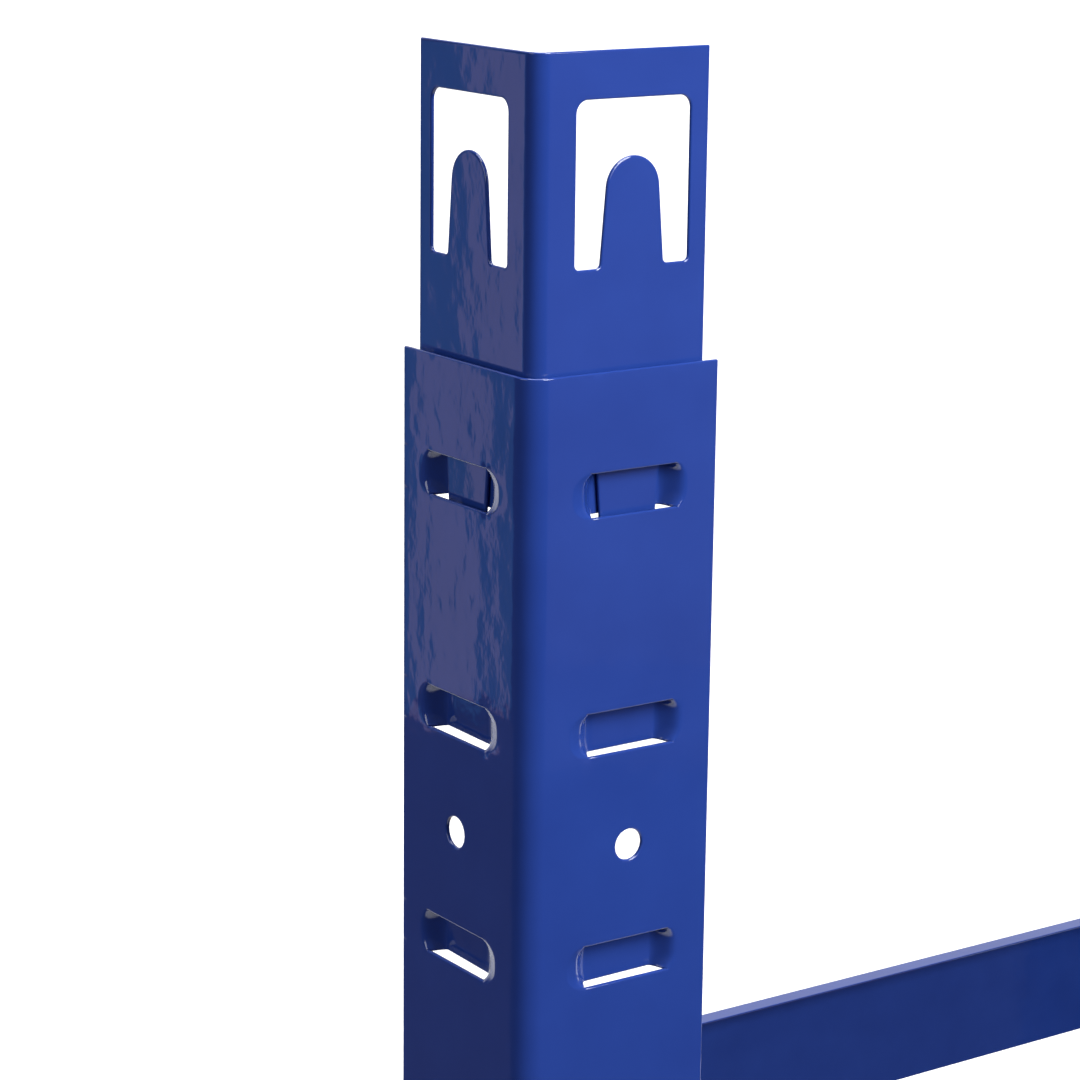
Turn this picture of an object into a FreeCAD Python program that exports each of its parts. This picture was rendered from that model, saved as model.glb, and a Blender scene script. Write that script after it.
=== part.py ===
# Base section of a boltless, hook-in steel shelving rack: four slotted angle posts on plastic feet,
# a splice connector hooked in the top of each post, an upper level of four beams with no board,
# and a lower level of four beams that carry a board on their lips.
# Millimetres. Origin at the centre of the footprint on the floor, +X along the length,
# +Y from front to rear, +Z up.
import FreeCAD
import Part
import os
from math import acos, atan2, cos, hypot, sin, tan

Vector = FreeCAD.Vector

# Overall
RACK_LENGTH = 900.0
RACK_DEPTH = 400.0
POST_LENGTH = 900.0
LEVEL_SLOTS = {"upper": 8, "lower": 22}   # slot each level's beams hook on, counted down from the top

# Angle post
POST_LEG = 34.8
POST_SHEET = 0.7
POST_BEND = 3.5                # outer bend radius
SLOT_PITCH = 37.5
SLOT_LINE = 19.5               # slot centre line, from the post's outer corner
SLOT_HEIGHT = 6.8
SLOT_HALF = 8.2                # half the length of the lanced strip where it meets the leg
STRIP_HALF = 6.3               # half the length of the strip's pressed-in flat
STRIP_DEPTH = 2.6              # from the leg's outer face to the strip's outer face
WALL_HOLE_RADIUS = 2.5
WALL_HOLE_PITCHES = 2          # distance of the wall-fixing hole from a post end, in slot pitches

# Hooks, the same on connectors and beams
WEB_INSET = 1.63               # hooked sheet's outer face, from the post's outer face
HOOK_SHEET = 0.6
WINDOW_WIDTH = 21.0
WINDOW_HEIGHT = 25.0
WINDOW_CORNER = 2.0
ROOT_CORNER = 0.8              # corners at the window's root edge, and the fillets of the tongue's root
TONGUE_LENGTH = 16.5
TONGUE_ROOT_HALF = 5.9
TONGUE_TIP_RADIUS = 4.9
REST_GAP = 0.05                # clearance left where one piece rests on another

# Splice connector
CONNECTOR_HEIGHT = 95.0
CONNECTOR_LEG = 31.7
CONNECTOR_BEND = 2.5

# Beams
BEAM_MARGIN = 9.0              # web above the hook window
BEAM_FOOT = 9.0                # web below the hook window
BEAM_END_GAP = 4.6             # from the post's outer corner to the end of the web
LIP_END_GAP = 37.0             # from the post's outer corner to the end of the lip and the hem
TOP_LIP = 7.5                  # the board rests on it
HEM_HEIGHT = 10.0              # flat hem along the web's lower edge, folded up on its outer face
BEAM_BEND = 2.0

# Board and feet
BOARD_THICKNESS = 5.0
BOARD_GAP = 4.0                # from the post's outer face to the board's edge
BOARD_CORNER = 2.0
FOOT_FLOOR = 2.0
FOOT_WALL = 1.6
FOOT_CLEARANCE = 0.1
FOOT_SLEEVE = 12.0             # height of the sleeve above the foot's floor
FOOT_CORNER = 2.0

# Worked out from the above
POST_TOP = FOOT_FLOOR + POST_LENGTH
SLOT_COUNT = round(POST_LENGTH / SLOT_PITCH)
ROOT_FROM_END = (SLOT_PITCH - SLOT_HEIGHT) / 2 - REST_GAP
BEAM_HEIGHT = BEAM_MARGIN + WINDOW_HEIGHT + BEAM_FOOT
THROUGH = 4.0                  # half depth of the tools that cut through a sheet
UP = Vector(0, 0, 1)
ORIGIN = Vector(0, 0, 0)


def rounded_face(corners):
    """Flat face from corners (x, y, radius), with an arc at each corner whose radius isn't 0."""
    starts, arcs = [], []
    count = len(corners)
    for i, (x, y, radius) in enumerate(corners):
        here = Vector(x, y, 0)
        before = Vector(*corners[i - 1][:2], 0) - here
        after = Vector(*corners[(i + 1) % count][:2], 0) - here
        before.normalize()
        after.normalize()
        if radius == 0:
            starts.append((here, here))
            arcs.append(None)
            continue
        half = before.getAngle(after) / 2
        reach = radius / tan(half)
        centre_way = before + after
        centre_way.normalize()
        middle = here + centre_way * (radius / sin(half) - radius)
        entry = here + before * reach
        leave = here + after * reach
        starts.append((entry, leave))
        arcs.append(Part.Arc(entry, middle, leave).toShape())
    edges = []
    for i in range(count):
        if arcs[i] is not None:
            edges.append(arcs[i])
        line_start = starts[i][1]
        line_end = starts[(i + 1) % count][0]
        if line_start.distanceToPoint(line_end) > 1e-6:
            edges.append(Part.LineSegment(line_start, line_end).toShape())
    return Part.Face(Part.Wire(edges))


def moved(shape, x=0.0, y=0.0, z=0.0):
    copy = shape.copy()
    copy.translate(Vector(x, y, z))
    return copy


def turned(shape, degrees, axis=UP):
    copy = shape.copy()
    copy.rotate(ORIGIN, axis, degrees)
    return copy


def other_leg(shape):
    """The same feature on the leg along Y, by mirroring across the plane x = y."""
    return shape.mirror(ORIGIN, Vector(1, -1, 0))


def both_legs(shapes):
    return list(shapes) + [other_leg(shape) for shape in shapes]


def upright(face):
    """Cutting tool for a leg or web along X: the face's Y becomes height, and it cuts both ways."""
    tool = moved(face, z=-THROUGH).extrude(UP * 2 * THROUGH)
    return turned(tool, 90, Vector(1, 0, 0))


def angle_face(leg, sheet, bend, offset=0.0):
    """L section with legs along +X and +Y and its outer corner at (offset, offset)."""
    inner = offset + sheet
    return rounded_face([
        (offset, offset, bend), (offset + leg, offset, 0), (offset + leg, inner, 0),
        (inner, inner, bend - sheet), (inner, offset + leg, 0), (offset, offset + leg, 0)])


def bridge_strip():
    """Lanced strip of one slot, pressed towards +Y, with its lower edge at z = 0."""
    run = SLOT_HALF - STRIP_HALF
    slant = hypot(run, STRIP_DEPTH)
    inner_flat = STRIP_HALF + POST_SHEET * (slant - run) / STRIP_DEPTH
    inner_root = inner_flat + run
    depth = STRIP_DEPTH + POST_SHEET
    points = [(-SLOT_HALF, 0), (-STRIP_HALF, STRIP_DEPTH), (STRIP_HALF, STRIP_DEPTH), (SLOT_HALF, 0),
              (inner_root, POST_SHEET), (inner_flat, depth), (-inner_flat, depth),
              (-inner_root, POST_SHEET)]
    outline = [Vector(x, y, 0) for x, y in points + points[:1]]
    return Part.Face(Part.makePolygon(outline)).extrude(UP * SLOT_HEIGHT)


def hook_window():
    """Window with a tongue standing in it: root edge on y = 0, tongue and window towards +Y."""
    tip_centre = TONGUE_LENGTH - TONGUE_TIP_RADIUS
    to_root = atan2(-tip_centre, TONGUE_ROOT_HALF)
    touch_angle = to_root + acos(TONGUE_TIP_RADIUS / hypot(TONGUE_ROOT_HALF, tip_centre))
    # the tongue's right flank faces this way, and a fillet joins it to the root edge
    flank = Vector(cos(touch_angle), sin(touch_angle), 0)
    fillet_centre = Vector(TONGUE_ROOT_HALF + ROOT_CORNER * (1 - flank.y) / flank.x, ROOT_CORNER, 0)
    middle_way = Vector(-flank.x, -flank.y - 1, 0)
    middle_way.normalize()
    root = Vector(fillet_centre.x, 0, 0)
    fillet_middle = fillet_centre + middle_way * ROOT_CORNER
    flank_foot = fillet_centre - flank * ROOT_CORNER
    touch = Vector(0, tip_centre, 0) + flank * TONGUE_TIP_RADIUS

    def left(point):
        return Vector(-point.x, point.y, 0)

    window = rounded_face([
        (-WINDOW_WIDTH / 2, 0, ROOT_CORNER), (WINDOW_WIDTH / 2, 0, ROOT_CORNER),
        (WINDOW_WIDTH / 2, WINDOW_HEIGHT, WINDOW_CORNER),
        (-WINDOW_WIDTH / 2, WINDOW_HEIGHT, WINDOW_CORNER)])
    tongue = Part.Face(Part.Wire([
        Part.LineSegment(left(root), root).toShape(),
        Part.Arc(root, fillet_middle, flank_foot).toShape(),
        Part.LineSegment(flank_foot, touch).toShape(),
        Part.Arc(touch, Vector(0, TONGUE_LENGTH, 0), left(touch)).toShape(),
        Part.LineSegment(left(touch), left(flank_foot)).toShape(),
        Part.Arc(left(flank_foot), left(fillet_middle), left(root)).toShape()]))
    return window.cut(tongue).Faces[0]


def slot_heights():
    """Height of each slot's centre above the post's lower end."""
    return [SLOT_PITCH * (i + 0.5) for i in range(SLOT_COUNT)]


def make_post():
    """Angle post with its outer corner at the origin and its lower end on z = 0."""
    post = angle_face(POST_LEG, POST_SHEET, POST_BEND).extrude(UP * POST_LENGTH)
    cuts, strips = [], []
    opening = Part.makeBox(2 * SLOT_HALF, 2 * THROUGH, SLOT_HEIGHT)
    for height in slot_heights():
        bottom = height - SLOT_HEIGHT / 2
        cuts.append(moved(opening, SLOT_LINE - SLOT_HALF, -THROUGH, bottom))
        strips.append(moved(bridge_strip(), SLOT_LINE, 0, bottom))
    for height in (WALL_HOLE_PITCHES * SLOT_PITCH, POST_LENGTH - WALL_HOLE_PITCHES * SLOT_PITCH):
        hole = Part.makeCylinder(WALL_HOLE_RADIUS, 2 * THROUGH, Vector(SLOT_LINE, -THROUGH, height),
                                 Vector(0, 1, 0))
        cuts.append(hole)
    return post.cut(both_legs(cuts)).fuse(both_legs(strips)).removeSplitter()


def make_connector():
    """Splice connector for a post whose outer corner is at the origin, with its mid-height on z = 0."""
    section = angle_face(CONNECTOR_LEG, HOOK_SHEET, CONNECTOR_BEND, WEB_INSET)
    body = moved(section, z=-CONNECTOR_HEIGHT / 2).extrude(UP * CONNECTOR_HEIGHT)
    window = hook_window()
    up_window = upright(moved(window, SLOT_LINE, ROOT_FROM_END))
    down_window = upright(moved(turned(window, 180), SLOT_LINE, -ROOT_FROM_END))
    return body.cut(both_legs([up_window, down_window])).removeSplitter()


def make_beam(length):
    """Beam along X between two posts' outer corners, web's outer face on y = 0, top on z = 0."""
    web_half = length / 2 - BEAM_END_GAP
    lip_half = length / 2 - LIP_END_GAP
    # section as (inward, height): lip, web and the hem on the web's outer face
    section = rounded_face([
        (0, 0, BEAM_BEND), (TOP_LIP, 0, 0), (TOP_LIP, -HOOK_SHEET, 0),
        (HOOK_SHEET, -HOOK_SHEET, BEAM_BEND - HOOK_SHEET), (HOOK_SHEET, -BEAM_HEIGHT, 0),
        (-HOOK_SHEET, -BEAM_HEIGHT, HOOK_SHEET), (-HOOK_SHEET, HEM_HEIGHT - BEAM_HEIGHT, 0),
        (0, HEM_HEIGHT - BEAM_HEIGHT, 0)])
    lipped = section.extrude(UP * 2 * lip_half)
    lipped = turned(turned(lipped, 90, Vector(1, 0, 0)), 90)
    lipped = moved(lipped, x=-lip_half)
    web = Part.makeBox(2 * web_half, HOOK_SHEET, BEAM_HEIGHT - BEAM_BEND,
                       Vector(-web_half, 0, -BEAM_HEIGHT))
    window = turned(hook_window(), 180)
    cuts = [upright(moved(window, side * (length / 2 - SLOT_LINE), -BEAM_MARGIN)) for side in (-1, 1)]
    return lipped.fuse(web).cut(cuts).removeSplitter()


def make_foot():
    """Plastic foot for a post whose outer corner is at the origin, standing on z = 0."""
    reach = FOOT_WALL + FOOT_CLEARANCE
    low = -reach
    high = POST_LEG + reach
    inner = POST_SHEET + reach
    base = rounded_face([(low, low, FOOT_CORNER), (high, low, FOOT_CORNER), (high, high, FOOT_CORNER),
                         (low, high, FOOT_CORNER)]).extrude(UP * FOOT_FLOOR)
    sleeve = rounded_face([(low, low, FOOT_CORNER), (high, low, 0), (high, inner, 0), (inner, inner, 0),
                           (inner, high, 0), (low, high, 0)])
    sleeve = sleeve.extrude(UP * (FOOT_FLOOR + FOOT_SLEEVE))
    socket = angle_face(POST_LEG + 2 * FOOT_CLEARANCE, POST_SHEET + 2 * FOOT_CLEARANCE, POST_BEND,
                        -FOOT_CLEARANCE)
    socket = moved(socket, z=FOOT_FLOOR).extrude(UP * 2 * FOOT_SLEEVE)
    return base.fuse(sleeve).cut(socket).removeSplitter()


def make_board():
    half_x = RACK_LENGTH / 2 - BOARD_GAP
    half_y = RACK_DEPTH / 2 - BOARD_GAP
    corners = [(-half_x, -half_y), (half_x, -half_y), (half_x, half_y), (-half_x, half_y)]
    face = rounded_face([(x, y, BOARD_CORNER) for x, y in corners])
    return face.extrude(UP * BOARD_THICKNESS)


def beam_top(level):
    """Height of a level's beam tops: the window's root edge rests on the slot's strip."""
    strip_top = POST_TOP - SLOT_PITCH * (LEVEL_SLOTS[level] + 0.5) + SLOT_HEIGHT / 2
    return strip_top + REST_GAP + BEAM_MARGIN


def save(name, shape):
    solid = shape.Solids[0]
    if len(shape.Solids) != 1 or not solid.isValid():
        raise ValueError("%s: %d solids, valid %s" % (name, len(shape.Solids), solid.isValid()))
    solid.exportStep("parts/%s.step" % name)
    print("%-24s %9.1f mm3" % (name, solid.Volume))


def main():
    os.makedirs("parts", exist_ok=True)
    half_x = RACK_LENGTH / 2
    half_y = RACK_DEPTH / 2
    # each corner: name, outer corner and the turn that points the legs inwards
    corners = [("front_left", -half_x, -half_y, 0), ("front_right", half_x, -half_y, 90),
               ("rear_right", half_x, half_y, 180), ("rear_left", -half_x, half_y, 270)]
    post = make_post()
    connector = make_connector()
    foot = make_foot()
    for corner, x, y, turn in corners:
        save("post_" + corner, moved(turned(post, turn), x, y, FOOT_FLOOR))
        save("connector_" + corner, moved(turned(connector, turn), x, y, POST_TOP))
        save("foot_" + corner, moved(turned(foot, turn), x, y))

    long_beam = make_beam(RACK_LENGTH)
    short_beam = make_beam(RACK_DEPTH)
    web_x = half_x - WEB_INSET
    web_y = half_y - WEB_INSET
    # each side: name, beam, place of the web's outer face and the turn that points the lips inwards
    sides = [("front", long_beam, 0, -web_y, 0), ("rear", long_beam, 0, web_y, 180),
             ("left", short_beam, -web_x, 0, -90), ("right", short_beam, web_x, 0, 90)]
    for level in LEVEL_SLOTS:
        for side, beam, x, y, turn in sides:
            name = "%s_beam_%s" % (level, side)
            save(name, moved(turned(beam, turn), x, y, beam_top(level)))
    save("lower_board", moved(make_board(), z=beam_top("lower") + REST_GAP))


main()
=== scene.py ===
from math import acos, atan2, cos, hypot, pi, radians, sin, tan

import bmesh
import bpy
from mathutils import Matrix, Vector


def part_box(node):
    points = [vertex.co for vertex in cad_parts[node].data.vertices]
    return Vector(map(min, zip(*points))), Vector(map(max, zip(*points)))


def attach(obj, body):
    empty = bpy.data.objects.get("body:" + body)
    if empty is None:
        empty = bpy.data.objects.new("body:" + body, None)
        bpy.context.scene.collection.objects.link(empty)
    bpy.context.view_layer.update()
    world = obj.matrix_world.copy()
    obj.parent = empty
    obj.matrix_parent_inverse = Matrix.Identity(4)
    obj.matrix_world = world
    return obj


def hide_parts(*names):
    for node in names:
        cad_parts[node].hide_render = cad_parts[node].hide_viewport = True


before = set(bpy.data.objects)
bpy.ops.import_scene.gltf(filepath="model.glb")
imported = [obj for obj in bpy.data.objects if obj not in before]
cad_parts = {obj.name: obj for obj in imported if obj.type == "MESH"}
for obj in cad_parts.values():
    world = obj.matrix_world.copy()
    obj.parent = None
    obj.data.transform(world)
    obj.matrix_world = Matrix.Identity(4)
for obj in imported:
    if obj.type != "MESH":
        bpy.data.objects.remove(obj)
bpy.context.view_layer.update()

MM = 0.001
HAIR = 1e-9                             # lengths that differ by less are the same

# Corners of the rack, each with the turn that points a piece's legs inwards
CORNERS = {"front_left": 0, "front_right": 90, "rear_right": 180, "rear_left": 270}

# Angle post, as in the CAD
POST_LEG = 34.8 * MM
POST_LENGTH = 900.0 * MM
POST_SHEET = 0.7 * MM
POST_BEND = 3.5 * MM                    # outer radius of the fold
SLOT_PITCH = 37.5 * MM
SLOT_LINE = 19.5 * MM                   # middle of the slots, from the outer corner
SLOT_HALF_HEIGHT = 3.4 * MM
STRIP_DEPTH = 2.6 * MM
HOLE_RADIUS = 2.5 * MM
HOLE_PITCHES = 2                        # from each end of the post

# The strip pressed in between a slot's two slits: half lengths of the slits and of its flat, and how
# much deeper than the middle the flat is at its end away from the post's fold
SLIT_HALF = 8.1 * MM
FLAT_HALF = 6.2 * MM
FLAT_TILT = 0.16 * MM

# The two ends of the strip, by their side: -1 is towards the post's fold and 1 is away from it. The knee
# where the strip turns in is bowed outwards, and the press leaves a shallow dish round it
KNEE_BOW = {-1: 2.1 * MM, 1: 1.5 * MM}
DISH_DEPTH = {-1: 0.30 * MM, 1: 0.04 * MM}
DISH_REACH = 1.5 * MM                   # from the knee outwards
DISH_RUN_IN = 1.6 * MM                  # from the knee inwards, beside the slits
DISH_AT_SLIT = 0.25                     # its depth at the height of the slits, as a share of the middle's

# Hooks and connector, as in the CAD
WEB_INSET = 1.63 * MM                   # outer face, from the post's outer face
HOOK_SHEET = 0.6 * MM
WINDOW_WIDTH = 21.0 * MM
WINDOW_HEIGHT = 25.0 * MM
WINDOW_CORNER = 2.0 * MM
ROOT_CORNER = 0.8 * MM
TONGUE_LENGTH = 16.5 * MM
TONGUE_ROOT_HALF = 5.9 * MM
TONGUE_TIP_RADIUS = 4.9 * MM
ROOT_FROM_MIDDLE = 15.3 * MM            # each window's root edge, from the connector's mid height
CONNECTOR_HEIGHT = 95.0 * MM
CONNECTOR_LEG = 31.7 * MM
CONNECTOR_BEND = 2.5 * MM               # outer radius of the fold
CONNECTOR_LEAN = radians(0.6)           # its legs are folded a little past square

# Cut edges
EDGE_ROW = 0.5 * MM                     # width of the row of faces along them
COAT_EDGE = 0.24 * MM                   # the powder coat rounds them by this much
PLASTIC_EDGE = 0.3 * MM
BOARD_EDGE = 0.25 * MM
SHARP_ANGLE = radians(40)               # only edges sharper than this are rounded
FLAT_ANGLE = radians(0.5)               # faces that meet flatter than this are one face
WELD_GAP = 0.001 * MM


# ---------------------------------------------------------------- mesh helpers

def new_piece(name, verts, faces, material):
    """A smooth mesh object with one material."""
    mesh = bpy.data.meshes.new(name)
    mesh.from_pydata(verts, [], faces)
    mesh.validate()
    mesh.materials.append(material)
    for polygon in mesh.polygons:
        polygon.use_smooth = True
    piece = bpy.data.objects.new(name, mesh)
    bpy.context.scene.collection.objects.link(piece)
    return piece


def thicken(piece, thickness):
    """Gives a sheet its thickness, inwards from the face that was drawn."""
    solid = piece.modifiers.new("thickness", "SOLIDIFY")
    solid.thickness = thickness
    solid.offset = -1
    solid.use_even_offset = True


def soften_edges(piece, width, segments=2, weld=False):
    """Rounds the cut edges, as a coat of paint does. A CAD mesh is welded and its flat faces joined first."""
    if weld:
        join = piece.modifiers.new("weld", "WELD")
        join.merge_threshold = WELD_GAP
        flat = piece.modifiers.new("flat", "DECIMATE")
        flat.decimate_type = "DISSOLVE"
        flat.angle_limit = FLAT_ANGLE
    bevel = piece.modifiers.new("edges", "BEVEL")
    bevel.width = width
    bevel.segments = segments
    bevel.limit_method = "ANGLE"
    bevel.angle_limit = SHARP_ANGLE
    bevel.use_clamp_overlap = False
    bevel.harden_normals = False
    normals = piece.modifiers.new("normals", "WEIGHTED_NORMAL")
    normals.keep_sharp = True
    normals.weight = 50


def section_point(column, inset, bend, depth=0.0):
    """(x, y) of a column of an angle's outer face, from the post's outer corner, pressed in by depth. A
    column is ("x", distance along the X leg), ("bend", angle round the fold) or ("y", distance along the
    Y leg)."""
    kind, value = column
    if kind == "x":
        return value, inset + depth
    if kind == "y":
        return inset + depth, value
    middle = inset + bend
    radius = bend - depth
    return middle - radius * sin(value), middle - radius * cos(value)


# ---------------------------------------------------------------- post

FOLD_STEPS = 10
BESIDE_FOLD = (0.0, 1.0 * MM, 2.2 * MM)                     # columns of a leg next to the fold
BESIDE_FREE_EDGE = 1.8 * MM                                 # and next to its free edge
DISH_STEPS = 3
RAMP_STEPS = 7
FLAT_STEPS = 8
HOLE_SQUARE = 0.75                      # half side of the square round a hole, as a share of the flat's half
BESIDE_END = 1.5 * MM                                       # rows next to the post's ends
BESIDE_SLIT = (3.0 * MM, 1.2 * MM, 0.7 * MM, 0.3 * MM)      # rows above and below a slot
SLOT_ROWS = 12
SLOT_ROW_ARC = radians(75)              # the slot's rows gather towards the slits, evenly round this half arc


def smooth(t):
    """0 up to t = 0 and 1 from t = 1 on, with a level start and end."""
    t = min(max(t, 0.0), 1.0)
    return t * t * (3 - 2 * t)


def middle_share(height):
    """1 at a slot's middle height, 0 at its slits and beyond them."""
    return 1 - min(abs(height) / SLOT_HALF_HEIGHT, 1.0) ** 3


def knee(side, height):
    """Distance from the slot line to a side's knee, at a height above the slot's middle."""
    return SLIT_HALF + KNEE_BOW[side] * middle_share(height)


def dish(side, away, height):
    """Depth of the shallow dish at a distance beyond the knee and a height above the slot's middle."""
    beyond_slit = max(abs(height) - SLOT_HALF_HEIGHT, 0.0)
    depth = DISH_DEPTH[side] * (DISH_AT_SLIT + (1 - DISH_AT_SLIT) * middle_share(height))
    return depth * (1 - smooth(hypot(max(away, 0.0), beyond_slit) / DISH_REACH))


def leg_columns():
    """The columns across one leg: ("plain", place), ("dish", side, share of its reach), ("ramp", side,
    share of the way out from the flat to the knee) or ("flat", share of the flat's half length)."""
    columns = [("plain", POST_BEND + beside) for beside in BESIDE_FOLD]
    columns += [("dish", -1, 1 - i / DISH_STEPS) for i in range(DISH_STEPS)]
    columns += [("ramp", -1, 1 - i / RAMP_STEPS) for i in range(RAMP_STEPS)]
    columns += [("flat", -1 + 2 * i / FLAT_STEPS) for i in range(FLAT_STEPS + 1)]
    columns += [("ramp", 1, (i + 1) / RAMP_STEPS) for i in range(RAMP_STEPS)]
    columns += [("dish", 1, (i + 1) / DISH_STEPS) for i in range(DISH_STEPS)]
    columns += [("plain", POST_LEG - BESIDE_FREE_EDGE), ("plain", POST_LEG)]
    return columns


def column_place(column, height):
    """(distance along the leg, depth outside the slot, depth in the slot) of a column at a height above
    a slot's middle."""
    kind = column[0]
    if kind == "plain":
        return column[1], 0.0, 0.0
    if kind == "flat":
        share = column[1]
        return SLOT_LINE + share * FLAT_HALF, 0.0, STRIP_DEPTH + share * FLAT_TILT
    side, share = column[1:]
    knee_place = knee(side, height)
    if kind == "dish":
        depth = dish(side, share * DISH_REACH, height)
        return SLOT_LINE + side * (knee_place + share * DISH_REACH), depth, depth
    run = knee_place - FLAT_HALF
    at_knee = dish(side, 0.0, height)
    outside = at_knee * smooth(1 - (1 - share) * run / DISH_RUN_IN)
    inside = at_knee + (STRIP_DEPTH + side * FLAT_TILT - at_knee) * smooth(1 - share)
    return SLOT_LINE + side * (FLAT_HALF + share * run), outside, inside


def hole_heights():
    """Heights of the wall holes' centres."""
    return (HOLE_PITCHES * SLOT_PITCH, POST_LENGTH - HOLE_PITCHES * SLOT_PITCH)


def hole_shares():
    """The rows of the square round a hole, and its columns, as shares of the flat's half length."""
    steps = round(FLAT_STEPS * HOLE_SQUARE)
    return [HOLE_SQUARE * (-1 + 2 * i / steps) for i in range(steps + 1)]


def row_heights():
    """Rows up the post as (height, height above the slot's middle or None away from the slots)."""
    in_slot = [SLOT_HALF_HEIGHT * sin(SLOT_ROW_ARC * (2 * i / SLOT_ROWS - 1)) / sin(SLOT_ROW_ARC)
               for i in range(SLOT_ROWS + 1)]
    below = [-SLOT_HALF_HEIGHT - beside for beside in BESIDE_SLIT]
    above = [SLOT_HALF_HEIGHT + beside for beside in reversed(BESIDE_SLIT)]
    rows = [(0.0, None), (BESIDE_END, None)]
    for i in range(round(POST_LENGTH / SLOT_PITCH)):
        middle = SLOT_PITCH * (i + 0.5)
        rows += [(middle + height, height) for height in below + in_slot + above]
        next_edge = SLOT_PITCH * (i + 1)
        if any(abs(next_edge - height) < HAIR for height in hole_heights()):
            rows += [(next_edge + share * FLAT_HALF, None) for share in hole_shares()]
    rows += [(POST_LENGTH - BESIDE_END, None), (POST_LENGTH, None)]
    return rows


def post_row(verts, across, z, above):
    """Adds the vertices of one row to verts. Gives each column's vertex as (on the leg, on the strip):
    they differ only where a slit parts the two."""
    height = 2 * SLOT_HALF_HEIGHT if above is None else above
    at_slit = abs(abs(height) - SLOT_HALF_HEIGHT) < HAIR
    in_slot = abs(height) < SLOT_HALF_HEIGHT and not at_slit
    on_leg, on_strip = [], []
    for kind, column in across:
        if kind == "bend":
            verts.append((*section_point((kind, column), 0, POST_BEND), z))
            on_leg.append(len(verts) - 1)
            on_strip.append(len(verts) - 1)
            continue
        place, outside, inside = column_place(column, height)
        verts.append((*section_point((kind, place), 0, POST_BEND, inside if in_slot else outside), z))
        on_leg.append(len(verts) - 1)
        cut_free = column[0] == "flat" or (column[0] == "ramp" and column[2] < 1)
        if at_slit and cut_free:
            verts.append((*section_point((kind, place), 0, POST_BEND, inside), z))
        on_strip.append(len(verts) - 1)
    return on_leg, on_strip


def hole_squares(rows, leg):
    """(first row, last row, first column, last column) of the square round each wall hole."""
    first = leg.index(("flat", -HOLE_SQUARE))
    last = leg.index(("flat", HOLE_SQUARE))
    y_leg = len(leg) + FOLD_STEPS - 1
    spans = [(len(leg) - 1 - last, len(leg) - 1 - first), (y_leg + first, y_leg + last)]
    squares = []
    for hole in hole_heights():
        inside = [i for i, (z, above) in enumerate(rows) if above is None and abs(z - hole) < FLAT_HALF]
        squares += [(inside[0], inside[-1], *span) for span in spans]
    return squares


def round_hole(verts, faces, ring):
    """Fills in from a square ring of vertices to the round edge of the hole in its middle."""
    opposite = ring[len(ring) // 2]
    centre = (Vector(verts[ring[0]]) + Vector(verts[opposite])) / 2
    for radius in (HOLE_RADIUS + EDGE_ROW, HOLE_RADIUS):
        start = len(verts)
        verts += [tuple(centre + (Vector(verts[i]) - centre).normalized() * radius) for i in ring]
        inner = list(range(start, len(verts)))
        for i in range(len(ring)):
            j = (i + 1) % len(ring)
            faces.append((ring[i], inner[i], inner[j], ring[j]))
        ring = inner


def post_mesh():
    """Outer face of an angle post with its outer corner at the origin and its lower end on z = 0."""
    leg = leg_columns()
    across = [("x", column) for column in reversed(leg)]
    across += [("bend", pi / 2 * (i + 1) / FOLD_STEPS) for i in range(FOLD_STEPS - 1)]
    across += [("y", column) for column in leg]
    rows = row_heights()
    verts, faces = [], []
    on_leg, on_strip = [], []
    for z, above in rows:
        leg_row, strip_row = post_row(verts, across, z, above)
        on_leg.append(leg_row)
        on_strip.append(strip_row)
    squares = hole_squares(rows, leg)
    for r in range(len(rows) - 1):
        both_in_slot = all(above is not None and abs(above) < SLOT_HALF_HEIGHT + HAIR
                           for _, above in rows[r:r + 2])
        lower, upper = (on_strip if both_in_slot else on_leg)[r:r + 2]
        for c in range(len(across) - 1):
            if any(bottom <= r < top and left <= c < right for bottom, top, left, right in squares):
                continue
            faces.append((lower[c], upper[c], upper[c + 1], lower[c + 1]))
    for bottom, top, left, right in squares:
        ring = [on_leg[bottom][c] for c in range(left, right)]
        ring += [on_leg[r][right] for r in range(bottom, top)]
        ring += [on_leg[top][c] for c in range(right, left, -1)]
        ring += [on_leg[r][left] for r in range(top, bottom, -1)]
        round_hole(verts, faces, ring)
    return verts, faces


# ---------------------------------------------------------------- connector

ARC_STEPS = 8
LEAST_SPREAD = 0.3                      # keeps a loop's sharp corners from moving too far aside


def arc(centre, radius, start, end, steps=ARC_STEPS):
    """Points on an arc, angles in degrees."""
    angles = [radians(start + (end - start) * i / steps) for i in range(steps + 1)]
    return [(centre[0] + radius * cos(a), centre[1] + radius * sin(a)) for a in angles]


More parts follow.
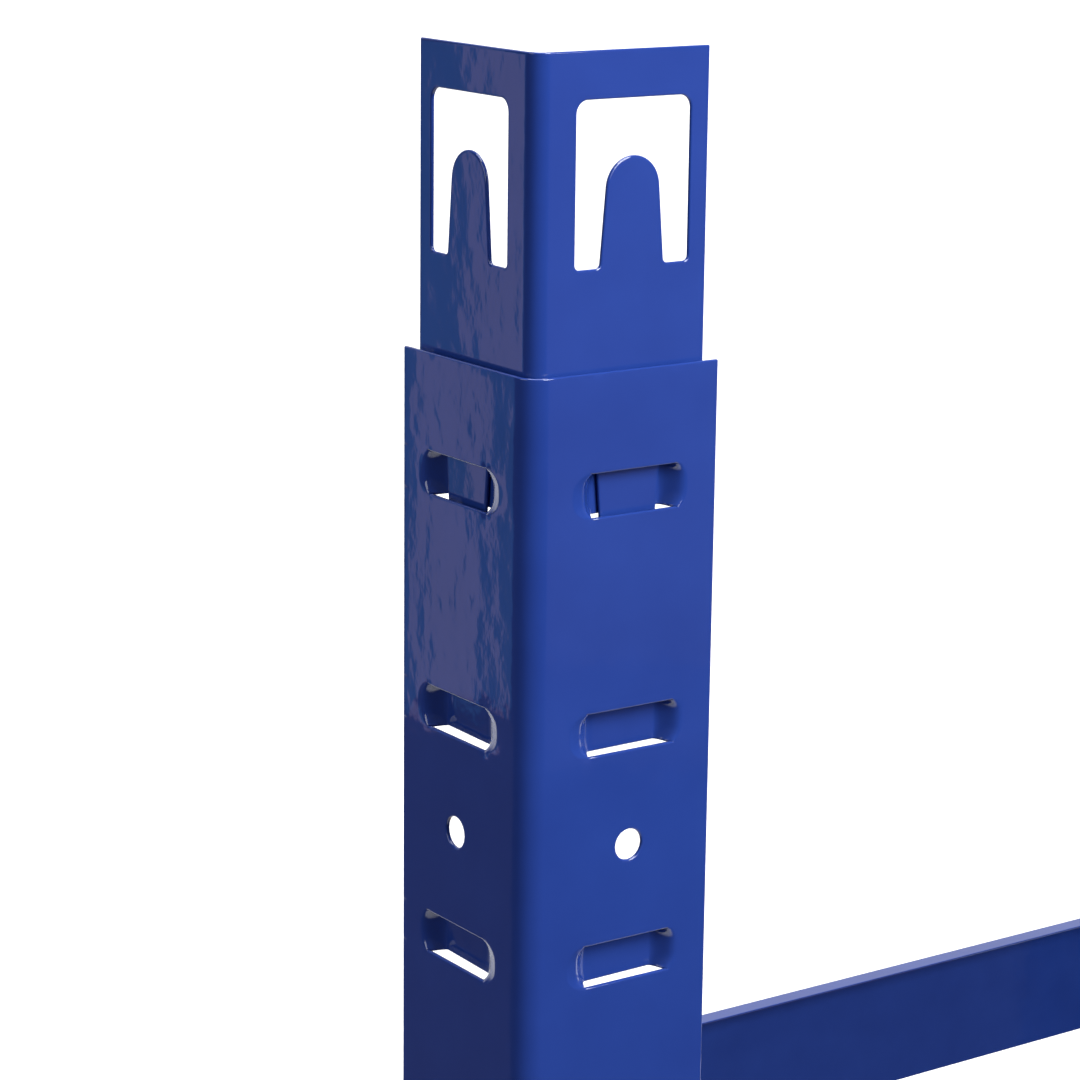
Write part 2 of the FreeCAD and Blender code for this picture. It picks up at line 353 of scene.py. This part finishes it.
def hook_outline():
    """Outline of the window round its tongue, root edge on y = 0 and tongue towards +Y."""
    half = WINDOW_WIDTH / 2
    tip_centre = TONGUE_LENGTH - TONGUE_TIP_RADIUS
    to_root = atan2(-tip_centre, TONGUE_ROOT_HALF)
    touch = to_root + acos(TONGUE_TIP_RADIUS / hypot(TONGUE_ROOT_HALF, tip_centre))
    fillet_x = TONGUE_ROOT_HALF + ROOT_CORNER * (1 - sin(touch)) / cos(touch)
    touch = touch * 180 / pi
    points = arc((half - ROOT_CORNER, ROOT_CORNER), ROOT_CORNER, -90, 0)
    points += arc((half - WINDOW_CORNER, WINDOW_HEIGHT - WINDOW_CORNER), WINDOW_CORNER, 0, 90)
    points += arc((WINDOW_CORNER - half, WINDOW_HEIGHT - WINDOW_CORNER), WINDOW_CORNER, 90, 180)
    points += arc((ROOT_CORNER - half, ROOT_CORNER), ROOT_CORNER, 180, 270)
    points += arc((-fillet_x, ROOT_CORNER), ROOT_CORNER, -90, -touch)
    points += arc((0, tip_centre), TONGUE_TIP_RADIUS, 180 - touch, touch, 4 * ARC_STEPS)
    points += arc((fillet_x, ROOT_CORNER), ROOT_CORNER, 180 + touch, 270)
    return points


def moved_aside(loop, gap):
    """A loop moved sideways by gap, to its right."""
    moved = []
    for i, here in enumerate(loop):
        before = (Vector(here) - Vector(loop[i - 1])).normalized()
        after = (Vector(loop[(i + 1) % len(loop)]) - Vector(here)).normalized()
        way = before + after
        side = Vector((way.y, -way.x)).normalized()
        reach = gap / max(side.dot(Vector((after.y, -after.x))), LEAST_SPREAD)
        moved.append(tuple(Vector(here) + side * reach))
    return moved


def fill(loops):
    """A flat face with holes, as (points, faces): the first loop is its border, and the sheet is on the
    right of the others. A row of quads along each loop keeps thin triangles away from the cut edges."""
    shape = bmesh.new()
    edges = []
    for i, loop in enumerate(loops):
        outer = [shape.verts.new((x, y, 0)) for x, y in loop]
        inner = [shape.verts.new((x, y, 0)) for x, y in moved_aside(loop, EDGE_ROW if i else -EDGE_ROW)]
        for j in range(len(loop)):
            shape.faces.new((outer[j - 1], outer[j], inner[j], inner[j - 1]))
            edges.append(shape.edges.get((inner[j - 1], inner[j])))
    bmesh.ops.triangle_fill(shape, use_beauty=True, use_dissolve=False, edges=edges, normal=(0, 0, 1))
    shape.verts.index_update()
    points = [(vert.co.x, vert.co.y) for vert in shape.verts]
    faces = [tuple(vert.index for vert in face.verts) for face in shape.faces]
    shape.free()
    return points, faces


def connector_mesh():
    """Outer face of a connector for a post whose outer corner is at the origin, mid height on z = 0."""
    verts, faces = [], []
    half_height = CONNECTOR_HEIGHT / 2
    near = WEB_INSET + CONNECTOR_BEND
    far = WEB_INSET + CONNECTOR_LEG
    hook = hook_outline()
    upper = [(SLOT_LINE + x, ROOT_FROM_MIDDLE + y) for x, y in hook]
    lower = [(SLOT_LINE - x, -ROOT_FROM_MIDDLE - y) for x, y in hook]
    border = [(near, -half_height), (far, -half_height), (far, half_height), (near, half_height)]
    points, shapes = fill([border, upper, lower])

    def leg_point(leg, place, z):
        """A point on a leg, which leans in a little from the fold to its free edge."""
        lean = (place - near) * tan(CONNECTOR_LEAN)
        return (*section_point((leg, place), WEB_INSET, CONNECTOR_BEND, lean), z)

    for leg, outward in (("x", Vector((0, -1, 0))), ("y", Vector((-1, 0, 0)))):
        start = len(verts)
        verts += [leg_point(leg, place, z) for place, z in points]
        for shape in shapes:
            ring = [start + i for i in shape]
            a, b, c = (Vector(verts[i]) for i in ring[:3])
            faces.append(ring if (b - a).cross(c - a).dot(outward) > 0 else ring[::-1])
    # the fold, between the X leg's border and the Y leg's
    columns = []
    for i in range(1, FOLD_STEPS):
        x, y = section_point(("bend", pi / 2 * i / FOLD_STEPS), WEB_INSET, CONNECTOR_BEND)
        verts += [(x, y, -half_height), (x, y, half_height)]
        columns.append((len(verts) - 2, len(verts) - 1))
    y_start = len(points)
    columns = [(0, 3)] + columns + [(y_start, y_start + 3)]
    for (a, b), (c, d) in zip(columns, columns[1:]):
        faces.append((a, b, d, c))
    return verts, faces


# ---------------------------------------------------------------- materials

TINT_SPAN = (0.3, 0.7)                  # noise at which a colour is fully its first and its second tint


def node_material(name):
    """A new material with a Principled shader, as (material, nodes, links, shader)."""
    material = bpy.data.materials.new(name)
    material.use_nodes = True
    nodes = material.node_tree.nodes
    links = material.node_tree.links
    nodes.clear()
    output = nodes.new("ShaderNodeOutputMaterial")
    shader = nodes.new("ShaderNodeBsdfPrincipled")
    links.new(shader.outputs[0], output.inputs[0])
    return material, nodes, links, shader


def object_coords(nodes, links, scale=(1, 1, 1)):
    coords = nodes.new("ShaderNodeTexCoord")
    mapping = nodes.new("ShaderNodeMapping")
    mapping.inputs["Scale"].default_value = scale
    links.new(coords.outputs["Object"], mapping.inputs["Vector"])
    return mapping.outputs["Vector"]


def noise(nodes, links, vector, scale, detail, roughness=0.5):
    node = nodes.new("ShaderNodeTexNoise")
    node.inputs["Scale"].default_value = scale
    node.inputs["Detail"].default_value = detail
    node.inputs["Roughness"].default_value = roughness
    links.new(vector, node.inputs["Vector"])
    return node.outputs["Fac"]


def bump(nodes, links, height, distance, normal=None):
    node = nodes.new("ShaderNodeBump")
    node.inputs["Strength"].default_value = 1.0
    node.inputs["Distance"].default_value = distance
    links.new(height, node.inputs["Height"])
    if normal is not None:
        links.new(normal, node.inputs["Normal"])
    return node.outputs["Normal"]


def two_tints(nodes, links, factor, first, second):
    """A colour that drifts between two tints with a noise."""
    node = nodes.new("ShaderNodeValToRGB")
    for element, place, tint in zip(node.color_ramp.elements, TINT_SPAN, (first, second)):
        element.position = place
        element.color = (*tint, 1)
    links.new(factor, node.inputs["Fac"])
    return node.outputs["Color"]


def blue_powder_coat():
    """Glossy coat with an orange peel of long low waves and short ones, drawn out a little up the post."""
    material, nodes, links, shader = node_material("blue_powder_coat")
    even = object_coords(nodes, links)
    drawn_out = object_coords(nodes, links, scale=(1, 1, 0.75))
    cloud = noise(nodes, links, even, scale=60, detail=3)
    colour = two_tints(nodes, links, cloud, (0.0105, 0.030, 0.170), (0.0125, 0.035, 0.190))
    links.new(colour, shader.inputs["Base Color"])
    shader.inputs["Roughness"].default_value = 0.045
    shader.inputs["IOR"].default_value = 1.5
    wave = noise(nodes, links, drawn_out, scale=170, detail=1)
    peel = noise(nodes, links, drawn_out, scale=430, detail=2)
    normal = bump(nodes, links, wave, distance=0.036 * MM)
    normal = bump(nodes, links, peel, distance=0.015 * MM, normal=normal)
    links.new(normal, shader.inputs["Normal"])
    return material


def black_plastic():
    """Matte, with a fine moulded grain."""
    material, nodes, links, shader = node_material("black_plastic")
    even = object_coords(nodes, links)
    cloud = noise(nodes, links, even, scale=150, detail=3)
    colour = two_tints(nodes, links, cloud, (0.012, 0.012, 0.013), (0.022, 0.022, 0.024))
    links.new(colour, shader.inputs["Base Color"])
    shader.inputs["Roughness"].default_value = 0.5
    grain = noise(nodes, links, even, scale=2500, detail=2)
    normal = bump(nodes, links, grain, distance=0.02 * MM)
    links.new(normal, shader.inputs["Normal"])
    return material


def pressed_board():
    """Bare pressed wood, with clouds of lighter and darker brown and short fibres."""
    material, nodes, links, shader = node_material("pressed_board")
    even = object_coords(nodes, links)
    cloud = noise(nodes, links, even, scale=25, detail=4, roughness=0.6)
    colour = two_tints(nodes, links, cloud, (0.36, 0.22, 0.115), (0.45, 0.29, 0.16))
    links.new(colour, shader.inputs["Base Color"])
    shader.inputs["Roughness"].default_value = 0.75
    fibre = noise(nodes, links, even, scale=1800, detail=3, roughness=0.7)
    normal = bump(nodes, links, fibre, distance=0.05 * MM)
    links.new(normal, shader.inputs["Normal"])
    return material


# ---------------------------------------------------------------- pieces

def paint(node, material):
    """Gives a CAD node its material."""
    node.data.materials.clear()
    node.data.materials.append(material)


def coated_sheet(part, corner, place, sheet, thickness, material, body):
    """Draws a post or a connector again at one corner of the rack, and hides its CAD node."""
    verts, faces = sheet
    node = "%s_%s" % (part, corner)
    piece = new_piece(node + "_coated", [tuple(place @ Vector(v)) for v in verts], faces, material)
    thicken(piece, thickness)
    soften_edges(piece, COAT_EDGE, segments=3)
    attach(piece, body)
    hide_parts(node)


def build_pieces():
    blue = blue_powder_coat()
    black = black_plastic()
    board = pressed_board()
    post = post_mesh()
    connector = connector_mesh()
    for corner, turn in CORNERS.items():
        low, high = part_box("post_" + corner)
        outer_x = low.x if "left" in corner else high.x
        outer_y = low.y if "front" in corner else high.y
        spin = Matrix.Rotation(radians(turn), 4, "Z")
        foot_end = Matrix.Translation((outer_x, outer_y, low.z)) @ spin
        top_end = Matrix.Translation((outer_x, outer_y, high.z)) @ spin
        coated_sheet("post", corner, foot_end, post, POST_SHEET, blue, "frame")
        coated_sheet("connector", corner, top_end, connector, HOOK_SHEET, blue, "connector_" + corner)
    for name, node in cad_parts.items():
        if name.startswith(("post_", "connector_")):
            continue
        if "_beam_" in name:
            paint(node, blue)
            soften_edges(node, COAT_EDGE, weld=True)
        elif name.startswith("foot_"):
            paint(node, black)
            soften_edges(node, PLASTIC_EDGE, weld=True)
        else:
            paint(node, board)
            soften_edges(node, BOARD_EDGE, weld=True)


# ---------------------------------------------------------------- stage, light and camera

def lamp(name, kind, place, target, size, colour=(1, 1, 1), energy=None, radiance=None):
    """A light aimed at target. An area light's size is (width, height) and a sun's is its angle; an area
    light can be set by its radiance."""
    data = bpy.data.lights.new(name, kind)
    data.color = colour
    if kind == "AREA":
        data.shape = "RECTANGLE"
        data.size, data.size_y = size
        data.energy = radiance * pi * size[0] * size[1]
    else:
        data.angle = size
        data.energy = energy
    piece = bpy.data.objects.new(name, data)
    bpy.context.scene.collection.objects.link(piece)
    piece.location = place
    piece.rotation_mode = "QUATERNION"
    piece.rotation_quaternion = (Vector(target) - Vector(place)).to_track_quat("-Z", "Y")
    piece.visible_camera = False
    return piece


BACKDROP_WAY = (0.569, 0.822, 0.0)      # the white sweep stands behind the rack, this way from its corner
BACKDROP_EDGE = (0.45, 0.65)            # cosine from that way where the sweep begins and where it is full
FLOOR_RADIUS = 60.0
PALE_FLOOR = (0.92, 0.92, 0.92)
DARK_FLOOR = (0.035, 0.035, 0.05)
PALE_FLOOR_EDGE = (0.7, 1.1)            # distance from the corner where the floor stops mirroring pale
DARK_ROOM = (0.12, 0.13, 0.17)
WHITE_SWEEP = (1.0, 1.0, 1.0)
SWEEP_STRENGTH = 1.1


def eased_share(nodes, links, value, edge):
    """0 up to the first value of edge and 1 from the second on, with a soft change between them."""
    span = nodes.new("ShaderNodeMapRange")
    span.interpolation_type = "SMOOTHSTEP"
    span.inputs["From Min"].default_value, span.inputs["From Max"].default_value = edge
    links.new(value, span.inputs["Value"])
    return span.outputs["Result"]


def backdrop_share(nodes, links, vector):
    """1 towards the white sweep behind the rack, 0 towards the dark rest of the room."""
    unit = nodes.new("ShaderNodeVectorMath")
    unit.operation = "NORMALIZE"
    links.new(vector, unit.inputs[0])
    dot = nodes.new("ShaderNodeVectorMath")
    dot.operation = "DOT_PRODUCT"
    dot.inputs[1].default_value = BACKDROP_WAY
    links.new(unit.outputs["Vector"], dot.inputs[0])
    return eased_share(nodes, links, dot.outputs["Value"], BACKDROP_EDGE)


def mixed(nodes, links, factor, first, second):
    """A mix of two shader nodes: the first at a factor of 0 and the second at 1."""
    mix = nodes.new("ShaderNodeMixShader")
    links.new(factor, mix.inputs[0])
    links.new(first.outputs[0], mix.inputs[1])
    links.new(second.outputs[0], mix.inputs[2])
    return mix


def plain_shader(nodes, kind, colour):
    node = nodes.new(kind)
    node.inputs["Color"].default_value = (*colour, 1)
    return node


def make_floor(corner):
    """The camera sees the floor pale. The blue paint mirrors it pale only near the corner and towards the
    sweep, and other light finds it dark except towards the sweep."""
    bpy.ops.mesh.primitive_circle_add(vertices=96, radius=FLOOR_RADIUS, fill_type="NGON")
    floor = bpy.context.object
    floor.name = "floor"
    material = bpy.data.materials.new("pale_floor")
    material.use_nodes = True
    nodes = material.node_tree.nodes
    links = material.node_tree.links
    nodes.clear()
    output = nodes.new("ShaderNodeOutputMaterial")
    pale = plain_shader(nodes, "ShaderNodeBsdfDiffuse", PALE_FLOOR)
    dark = plain_shader(nodes, "ShaderNodeBsdfDiffuse", DARK_FLOOR)
    coords = nodes.new("ShaderNodeTexCoord")
    from_corner = nodes.new("ShaderNodeVectorMath")
    from_corner.operation = "SUBTRACT"
    from_corner.inputs[1].default_value = (corner.x, corner.y, 0)
    links.new(coords.outputs["Object"], from_corner.inputs[0])
    reach = nodes.new("ShaderNodeVectorMath")
    reach.operation = "LENGTH"
    links.new(from_corner.outputs["Vector"], reach.inputs[0])
    far = eased_share(nodes, links, reach.outputs["Value"], PALE_FLOOR_EDGE)
    mirrored = mixed(nodes, links, far, pale, dark)
    path = nodes.new("ShaderNodeLightPath")
    dim = mixed(nodes, links, path.outputs["Is Glossy Ray"], dark, mirrored)
    sweep = backdrop_share(nodes, links, from_corner.outputs["Vector"])
    room = mixed(nodes, links, sweep, dim, pale)
    seen = mixed(nodes, links, path.outputs["Is Camera Ray"], room, pale)
    links.new(seen.outputs[0], output.inputs[0])
    floor.data.materials.append(material)


def make_world():
    """White behind the rack and wherever the camera looks, and dark on the other sides."""
    world = bpy.data.worlds.new("studio")
    bpy.context.scene.world = world
    world.use_nodes = True
    nodes = world.node_tree.nodes
    links = world.node_tree.links
    nodes.clear()
    output = nodes.new("ShaderNodeOutputWorld")
    coords = nodes.new("ShaderNodeTexCoord")
    dark = plain_shader(nodes, "ShaderNodeBackground", DARK_ROOM)
    white = plain_shader(nodes, "ShaderNodeBackground", WHITE_SWEEP)
    white.inputs["Strength"].default_value = SWEEP_STRENGTH
    room = mixed(nodes, links, backdrop_share(nodes, links, coords.outputs["Generated"]), dark, white)
    path = nodes.new("ShaderNodeLightPath")
    seen = mixed(nodes, links, path.outputs["Is Camera Ray"], room, white)
    links.new(seen.outputs[0], output.inputs[0])


CAMERA_OFFSET = Vector((-263.5, -384.3, 87.05)) * MM     # from the front left post's top outer corner
CAMERA_YAW = radians(55.352)                             # from +X towards +Y
CAMERA_PITCH = radians(13.398)                           # below the horizon
CAMERA_ROLL = radians(0.654)
CAMERA_LENS = 107.69
CAMERA_SENSOR = 36


def make_camera():
    """Stands the camera by the front left post. Gives that post's top outer corner, and the camera."""
    low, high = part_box("post_front_left")
    corner = Vector((low.x, low.y, high.z))
    forward = Vector((cos(CAMERA_YAW) * cos(CAMERA_PITCH), sin(CAMERA_YAW) * cos(CAMERA_PITCH),
                      -sin(CAMERA_PITCH)))
    right = Vector((sin(CAMERA_YAW), -cos(CAMERA_YAW), 0))
    up = right.cross(forward)
    turned_right = cos(CAMERA_ROLL) * right + sin(CAMERA_ROLL) * up
    turned_up = cos(CAMERA_ROLL) * up - sin(CAMERA_ROLL) * right
    data = bpy.data.cameras.new("camera")
    data.lens = CAMERA_LENS
    data.sensor_width = CAMERA_SENSOR
    data.clip_start = 0.02
    data.clip_end = 200
    camera = bpy.data.objects.new("camera", data)
    bpy.context.scene.collection.objects.link(camera)
    axes = Matrix((turned_right, turned_up, -forward)).transposed().to_4x4()
    camera.matrix_world = Matrix.Translation(corner + CAMERA_OFFSET) @ axes
    bpy.context.scene.camera = camera
    return corner, camera


SOFT_SUN = radians(40)
CARD_REACH = 4.2          # distance of the cards from the mirrored camera, in camera distances
STRIP_AHEAD = 0.05        # the strip stands this far in front of the other cards
# Cards that mirror in the faces of the front left post, seen from the camera. Each spans a stretch of a leg
# in millimetres from the outer corner, and stands in a height range in metres
CARDS = (
    # name, leg, near, far, low, high, colour, radiance
    ("strip", "y", 10.5, 32, 0.385, 1.3, (1.0, 0.62, 0.77), 0.55),
    ("blue_card", "y", -12, 60, 0.375, 1.3, (0.12, 0.42, 1.0), 0.62),
    ("low_card", "y", -30, 60, 0.02, 0.375, (1.0, 0.8, 0.8), 0.05),
    ("pale_card", "x", -30, 60, 0.42, 1.3, (1.0, 0.78, 0.75), 0.18),
    ("pale_card_low", "x", -30, 60, 0.35, 1.3, (1.0, 0.82, 1.0), 0.08))


def make_lights(corner, camera):
    lamp("top", "SUN", (0.3, 0.4, 6), (0, 0, 0), SOFT_SUN, energy=4.1)
    lamp("fill", "SUN", (-6, 1, 1.5), (0, 0, 0), SOFT_SUN, energy=1.4)
    lamp("key", "AREA", (0.4, -2.4, 1.6), (-0.2, -0.2, 0.7), (1.2, 1.2), radiance=10)
    lamp("key_near", "AREA", (-0.3, -0.6, 1.25), (corner.x, corner.y, 0.93), (0.3, 0.3), radiance=20)
    for name, leg, near, far, low, high, colour, radiance in CARDS:
        along, across_leg = (Vector((0, 1, 0)), 0) if leg == "y" else (Vector((1, 0, 0)), 1)
        eye = camera.location.copy()
        eye[across_leg] = 2 * corner[across_leg] - eye[across_leg]
        eye.z = corner.z
        left = eye + (corner + along * far * MM - eye) * CARD_REACH
        right = eye + (corner + along * near * MM - eye) * CARD_REACH
        place = (left + right) / 2
        place.z = (low + high) / 2
        target = Vector((corner.x, corner.y, place.z))
        way = (place - target).normalized()
        width = (left - right).cross(way).length
        if name != "strip":
            place += way * STRIP_AHEAD
        lamp(name, "AREA", place, target, (width, high - low), colour, radiance=radiance)


bpy.context.scene.view_settings.view_transform = "Standard"
build_pieces()
post_top, camera = make_camera()
make_floor(post_top)
make_world()
make_lights(post_top, camera)
